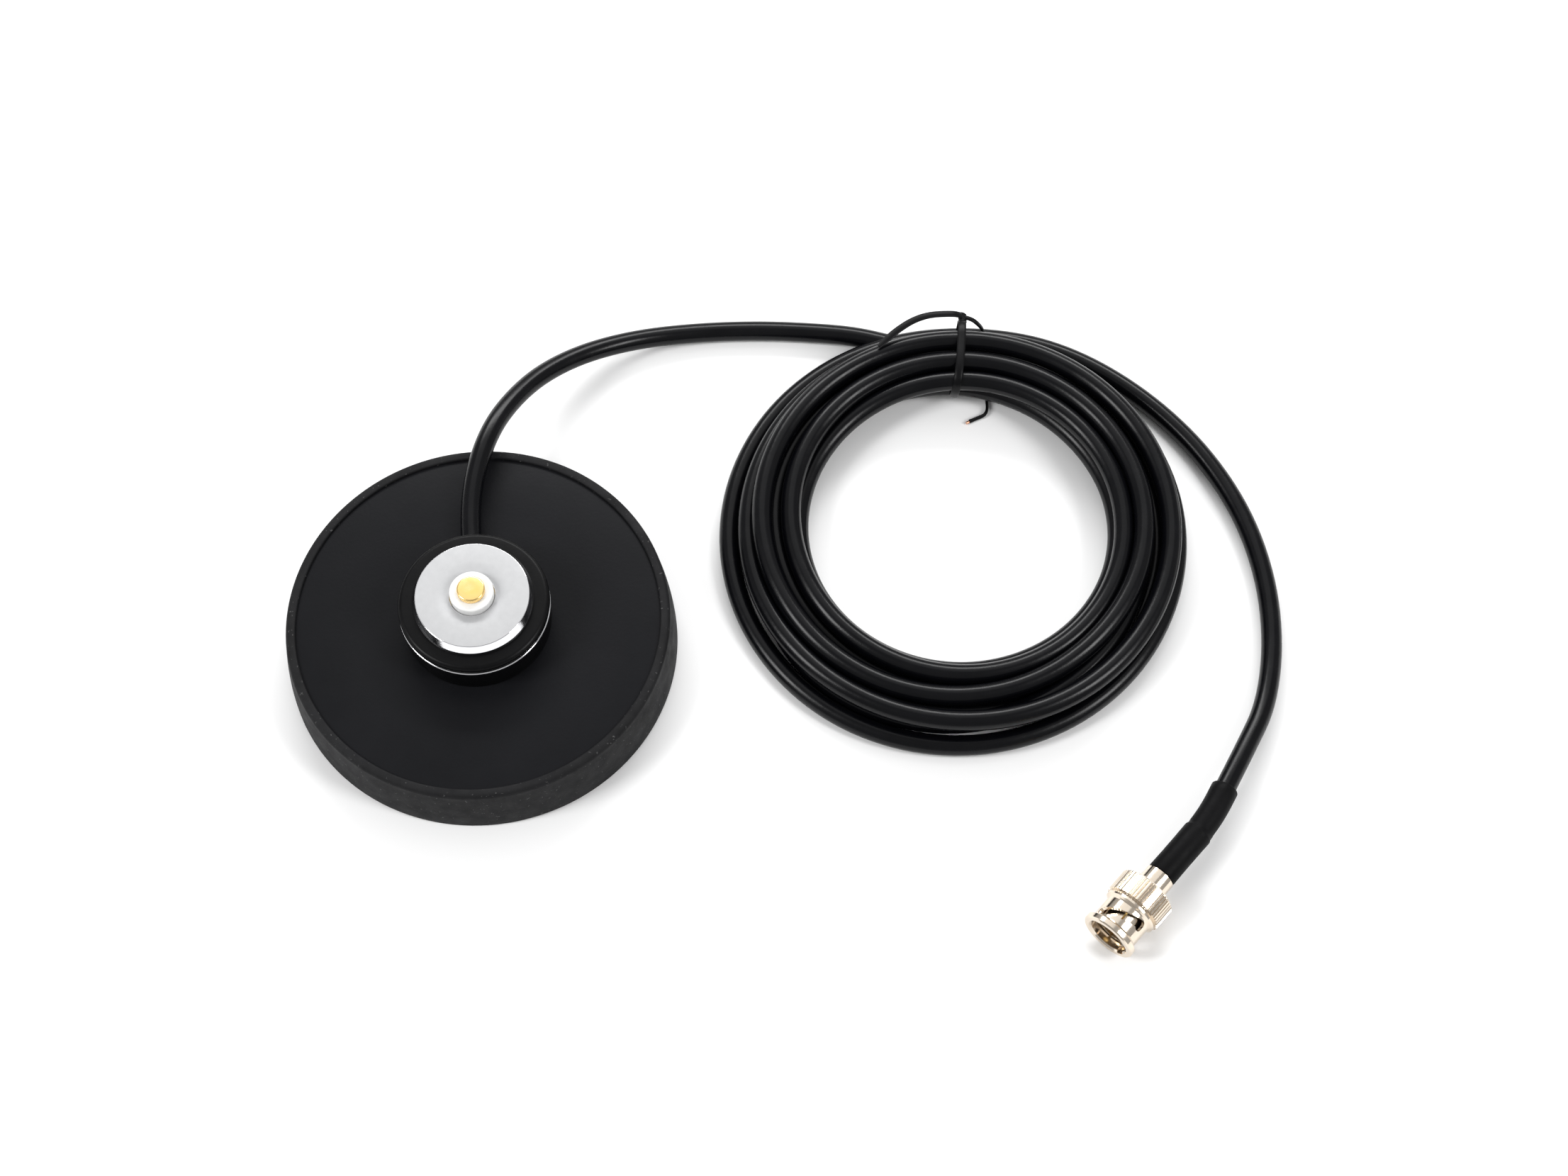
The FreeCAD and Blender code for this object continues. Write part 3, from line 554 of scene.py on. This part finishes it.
def coil_points():
    """The coil's turns, from the rows at the top of the script: the rows are
    joined by a smooth line, then turns that lie closer than a cable's width
    at the same angle push each other apart and settle on the surface."""
    stations_per_turn = len(TURN_RADII[0])
    turns = len(TURN_RADII)
    count = turns * POINTS_PER_TURN + 1
    at = np.arange(count) / POINTS_PER_TURN
    stations = np.arange(turns * stations_per_turn + 1) / stations_per_turn
    reach = np.interp(at, stations, np.append(np.ravel(TURN_RADII), COIL_END[0]))
    height = np.interp(at, stations, np.append(np.ravel(TURN_HEIGHTS), COIL_END[1]))
    reach = soften(reach, 3)
    height = soften(height, 3)
    wanted_reach = reach.copy()
    wanted_height = height.copy()
    spacing = 2 * CABLE_R + CABLE_GAP
    for _ in range(SETTLE_ROUNDS):
        reach_push = np.zeros(count)
        height_push = np.zeros(count)
        for turns_apart in range(1, turns + 1):
            offset = turns_apart * POINTS_PER_TURN
            inner = slice(0, count - offset)
            outer = slice(offset, count)
            apart_reach = reach[outer] - reach[inner]
            apart_height = height[outer] - height[inner]
            distance = np.hypot(apart_reach, apart_height) + 1e-6
            push = np.clip(spacing - distance, 0, None) * PUSH_SHARE / distance
            reach_push[inner] -= push * apart_reach
            reach_push[outer] += push * apart_reach
            height_push[inner] -= push * apart_height
            height_push[outer] += push * apart_height
        reach += reach_push + (wanted_reach - reach) * REACH_RETURN
        height += height_push + (wanted_height - height) * HEIGHT_RETURN
        for values in (reach, height):
            values[1:-1] += STIFFNESS * (values[:-2] + values[2:] - 2 * values[1:-1])
        height = np.maximum(height, FLOOR_Z)
    angle = np.radians(COIL_START_ANGLE + 360.0 * at)
    # A NURBS line runs a little inside its points, so they stand a little out.
    stand_out = 1.0 / math.cos(math.pi / POINTS_PER_TURN) ** 0.75
    x = COIL_MIDDLE[0] + reach * stand_out * np.cos(angle)
    y = COIL_MIDDLE[1] - reach * stand_out * np.sin(angle)
    return [tuple(point) for point in zip(x.tolist(), y.tolist(), height.tolist())]


def plug_axis():
    """Direction in which the plug's mouth points."""
    heading = math.radians(PLUG_HEADING)
    return Vector((math.cos(heading), math.sin(heading), 0.0))


def plug_point(distance):
    """Point on the plug's axis, in millimetres."""
    return tuple(PLUG_REAR + plug_axis() * distance)


def add_cable():
    """The whole cord as one tube, and the points of its middle line in metres."""
    curve = bpy.data.curves.new("coax_cable", "CURVE")
    curve.dimensions = "3D"
    points = LEAD + coil_points() + TAIL + [plug_point(TAIL_LAST_BEND), plug_point(CABLE_END)]
    nurbs(curve, points)
    curve.resolution_u = 6
    holder = bpy.data.objects.new("coax_line", curve)
    line_mesh = bpy.data.meshes.new_from_object(holder)
    line = [v.co.copy() for v in line_mesh.vertices]
    bpy.data.objects.remove(holder)
    bpy.data.meshes.remove(line_mesh)
    curve.bevel_depth = CABLE_R * MM
    curve.bevel_resolution = 8
    curve.use_fill_caps = True
    curve.materials.append(CABLE)
    cable = bpy.data.objects.new("coax_cable", curve)
    bpy.context.scene.collection.objects.link(cable)
    length = sum((b - a).length for a, b in zip(line, line[1:]))
    print(f"cable length {length:.4f} m")
    return cable, line


# ----------------------------------------------------------- cable fittings

KNOT_TURNS = 2.0
KNOT_STEPS = 24
KNOT_R = 0.55
KNOT_LENGTH = 2.4


def add_shrink(line):
    """Heat-shrink sleeve: snug on the cable, a step up on the crimped ferrule.
    It follows the cable's line back from the plug, then ends in a crisp edge."""
    axis = plug_axis()
    rear = PLUG_REAR * MM
    path = []
    sizes = []
    for point in reversed(line):
        distance = (point - rear).dot(axis) / MM
        if distance < SLEEVE_REAR:
            break
        if distance < SLEEVE_LEAVES_CABLE:
            path.insert(0, point)
            sizes.insert(0, SLEEVE_CABLE_R)
    inward = (path[1] - path[0]).normalized() * MM
    path[0:0] = [path[0] - inward * 0.25, path[0] - inward * 0.2]
    sizes[0:0] = [CABLE_R + 0.1, SLEEVE_CABLE_R - 0.13]
    for distance, radius in SLEEVE_ON_FERRULE:
        path.append(rear + axis * distance * MM)
        sizes.append(radius)
    sizes = [(r * MM, r * MM) for r in sizes]
    return swept("heat_shrink_sleeve", path, sizes, SHRINK, sides=48)


def ribbon(name, points, wide, thick, material, taper=0.0, guide=None):
    """Flat strip along a smooth line; taper narrows its last tenth."""
    path = smooth_line(points)
    sizes = []
    for index in range(len(path)):
        share = index / (len(path) - 1)
        scale = 1.0 - taper * max(0.0, share - 0.9) / 0.1
        sizes.append((wide * scale * MM / 2, thick * scale * MM / 2))
    return swept(name, path, sizes, material, sides=16, guide=guide)


def add_tie():
    """Plastic-covered twist tie: its loop, its twisted knot and both ends."""
    loop = ribbon("tie_loop", [
        (117.8, 84.0, 12.6),
        (117.8, 83.6, 14.2),
        (117.7, 81.0, 15.35),
        (117.4, 77.2, 15.25),
        (117.0, 72.0, 15.2),
        (116.6, 68.6, 14.6),
        (116.2, 66.0, 13.2),
        (115.9, 65.2, 10.4),
        (115.7, 65.8, 7.2),
        (115.6, 67.4, 3.8),
        (115.8, 70.6, 0.9),
        (116.2, 75.0, 0.6),
        (116.6, 79.6, 0.7),
        (117.2, 82.8, 3.0),
        (117.6, 84.2, 7.0),
        (117.8, 84.4, 11.0),
        (117.8, 84.2, 12.8),
    ], 0.6, 2.1, TIE, guide=Vector((1, 0, 0)))
    long_end = ribbon("tie_long_end", [
        (118.0, 85.2, 13.6),
        (116.8, 85.0, 14.8),
        (113.6, 84.6, 15.6),
        (109.3, 83.9, 16.2),
        (105.4, 82.4, 16.2),
        (101.8, 80.0, 15.9),
        (98.8, 77.4, 15.5),
        (96.6, 75.2, 15.3),
    ], 1.9, 0.6, TIE, taper=0.4)
    short_end = ribbon("tie_short_end", [
        (118.2, 85.0, 13.4),
        (120.2, 84.4, 13.6),
        (122.2, 83.6, 12.0),
        (123.6, 84.4, 8.0),
        (124.0, 83.6, 3.2),
        (124.1, 80.0, 0.9),
        (124.2, 74.0, 0.8),
        (124.4, 68.0, 0.8),
        (124.5, 65.2, 0.9),
        (123.8, 63.6, 0.9),
        (121.9, 62.8, 0.8),
        (119.8, 61.8, 0.8),
    ], 1.2, 0.7, TIE)
    wire = [(120.4, 62.1, 0.72), (119.8, 61.8, 0.7), (119.0, 61.4, 0.7)]
    tip = ribbon("tie_wire_tip", wire, 0.7, 0.7, COPPER)
    strands = []
    for side in (0, 1):
        twist = []
        for index in range(KNOT_STEPS + 1):
            share = index / KNOT_STEPS
            angle = 2 * math.pi * (KNOT_TURNS * share + side / 2)
            across = KNOT_R * math.cos(angle)
            up = KNOT_R * math.sin(angle)
            twist.append((118.0 + across, 83.6 + KNOT_LENGTH * share, 13.0 + up))
        strands.append(ribbon(f"tie_knot_{side}", twist, 1.1, 1.1, TIE))
    return [loop, long_end, short_end, tip] + strands


# ----------------------------------------------------------------- the base


def add_boot():
    """Rubber boot: a rounded foot, a wall that leans in, and a rolled top lip."""
    foot_rounding = 0.8
    wall_bottom = foot_rounding
    wall_height = 13.1
    outline = [(BOOT_FOOT_R, 0.0), (46.0, 0.0)]
    outline += rounded((BOOT_BOTTOM_R - foot_rounding, wall_bottom), foot_rounding, -90, 0, 5)
    for share in np.linspace(0.1, 1.0, 10):
        outline.append((BOOT_BOTTOM_R - BOOT_DRAFT * share ** 1.7, wall_bottom + wall_height * share))
    outline += rounded((44.6, 14.0), BOOT_TOP_Z - 14.0, 0, 90, 8)
    outline += rounded((BOOT_LIP_R + 0.5, 14.7), 0.5, 90, 180, 5)
    outline += [(BOOT_LIP_R, 14.42), (CUP_R, CUP_TOP_Z), (CUP_R, CUP_RIM_Z), (BOOT_FOOT_R, CUP_RIM_Z)]
    return lathe("boot", outline, BOOT, segments=360)


def add_plate():
    """Pressed steel cup, seen as the flat plate inside the boot."""
    outside = CUP_R - 0.05
    inside = 42.8
    rim = CUP_RIM_Z + 0.05
    rounding = 0.4
    outline = [(0, CUP_UNDERSIDE_Z), (inside, CUP_UNDERSIDE_Z), (inside, rim), (outside, rim)]
    outline += [(outside, CUP_TOP_Z - rounding)]
    outline += rounded((outside - rounding, CUP_TOP_Z - rounding), rounding, 0, 90, 4)
    outline += [(30.0, CUP_TOP_Z), (17.0, CUP_TOP_Z), (0, CUP_TOP_Z)]
    return lathe("cup", outline, POWDER, segments=256)


def add_collar():
    """Plastic collar that lifts the socket off the plate."""
    inside = 14.0
    floor_top = 15.9
    rounding = 0.6
    outline = [(inside, floor_top), (inside, COLLAR_TOP_Z), (COLLAR_R - rounding, COLLAR_TOP_Z)]
    outline += rounded((COLLAR_R - rounding, COLLAR_TOP_Z - rounding), rounding, 80, 0, 5)
    outline += [(COLLAR_R, 18.0), (COLLAR_R, 14.75), (17.2, 14.42), (14.2, 14.42), (12.0, floor_top)]
    return lathe("collar", outline, COLLAR)


def add_flange():
    """Thin chromed washer between the collar and the gasket."""
    edge = FLANGE_R - 0.3
    outline = [(NECK_R, COLLAR_TOP_Z)]
    outline += rounded((edge, COLLAR_TOP_Z + FLANGE_ROUNDING), FLANGE_ROUNDING, -90, 0, 4)
    outline += rounded((edge, FLANGE_TOP_Z - FLANGE_ROUNDING), FLANGE_ROUNDING, 0, 90, 4)
    outline += [(NECK_R, FLANGE_TOP_Z)]
    return lathe("flange", outline, CHROME)


def add_gasket():
    """Black rubber disc on the flange, with a round edge."""
    edge = (GASKET_R - GASKET_ROUNDING, GASKET_TOP_Z - GASKET_ROUNDING)
    outline = [(SOCKET_RELIEF_R, FLANGE_TOP_Z)]
    outline += rounded(edge, GASKET_ROUNDING, -75, 90, 14)
    outline += [(SOCKET_RELIEF_R, GASKET_TOP_Z)]
    return lathe("gasket", outline, GASKET)


def add_ring():
    """Socket ring: polished wall and cone, with a satin flat on top."""
    outline = [(NECK_R, FLANGE_TOP_Z), (SOCKET_RELIEF_R, FLANGE_TOP_Z), (SOCKET_RELIEF_R, 25.15)]
    outline += [(14.1, 25.2), (SOCKET_R, 25.35), (SOCKET_R, SOCKET_CONE_Z)]
    outline += [(14.24, 26.41), (13.48, 27.97)]
    outline += rounded((13.25, SOCKET_TOP_Z - 0.2), 0.2, 25, 90, 5)
    outline += [(9.0, SOCKET_TOP_Z), (5.55, SOCKET_TOP_Z), (5.4, 28.12)]
    outline += [(5.4, NECK_TOP_Z), (NECK_R, NECK_TOP_Z)]
    ring = lathe("ring", outline, CHROME)
    ring.data.materials.append(SATIN)
    for face in ring.data.polygons:
        if face.normal.z > 0.99 and face.center.z > 28.0 * MM:
            face.material_index = 1
    return ring


def add_insulator():
    """White bush round the contact, standing up out of the ring."""
    rounding = 0.4
    outline = [(CONTACT_SHANK_R, INSULATOR_BOTTOM_Z), (INSULATOR_R, INSULATOR_BOTTOM_Z)]
    outline += [(INSULATOR_R, INSULATOR_TOP_Z - rounding)]
    outline += rounded((INSULATOR_R - rounding, INSULATOR_TOP_Z - rounding), rounding, 0, 90, 5)
    outline += [(3.4, INSULATOR_TOP_Z), (CONTACT_SHANK_R, INSULATOR_TOP_Z)]
    return lathe("insulator", outline, WHITE, segments=128)


def add_contact():
    """Gold button that the whip's spring presses on, with a slight dish."""
    rounding = 0.4
    outline = [(0, CONTACT_SHANK_Z), (CONTACT_SHANK_R, CONTACT_SHANK_Z), (CONTACT_SHANK_R, INSULATOR_TOP_Z)]
    outline += [(3.1, INSULATOR_TOP_Z)]
    outline += rounded((CONTACT_R - 0.25, INSULATOR_TOP_Z + 0.25), 0.25, -80, 0, 3)
    outline += rounded((CONTACT_R - rounding, CONTACT_TOP_Z - rounding), rounding, 0, 90, 5)
    outline += [(1.2, CONTACT_TOP_Z - 0.02), (0, CONTACT_TOP_Z - 0.04)]
    return lathe("contact", outline, GOLD, segments=128)


def add_grommet():
    """Rubber ring where the lead comes out of the collar."""
    heading = Vector((EXIT[0], EXIT[1], 0.0)).normalized()
    level = Vector((0, 0, EXIT[2] * MM))
    outline = [(13.4, 3.2), (17.3, 3.2), (17.7, 3.1), (17.88, 2.9), (17.9, 2.6), (17.7, 2.52)]
    path = [heading * reach * MM + level for reach, _ in outline]
    sizes = [(radius * MM, radius * MM) for _, radius in outline]
    return swept("grommet", path, sizes, GASKET, sides=48)


# ------------------------------------------------------------------ assembly

add_camera()
cable, cable_line = add_cable()
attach(cable, "mount")
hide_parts("cable_lead", "cable_coil", "cable_tail")

sleeve = add_shrink(cable_line)
tie_pieces = add_tie()
for piece in [sleeve] + tie_pieces:
    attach(piece, "mount")
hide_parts("heat_shrink")
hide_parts("twist_tie")

for maker, node, slot in (
    (add_boot, "rubber_boot", "boot_rubber"),
    (add_plate, "steel_cup", "black_steel"),
    (add_collar, "hub_collar", "black_plastic"),
    (add_flange, "mount_flange", "chrome"),
    (add_gasket, "hub_gasket", "gasket_rubber"),
    (add_ring, "socket_ring", "chrome"),
    (add_insulator, "socket_insulator", "white_insulator"),
    (add_contact, "centre_contact", "gold_contact"),
    (add_grommet, "cable_grommet", "gasket_rubber"),
):
    made = maker()
    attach(made, "mount")
    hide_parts(node)

for name, material in NODE_MATERIALS.items():
    for material_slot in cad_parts[name].material_slots:
        material_slot.material = material

add_floor()
add_light()
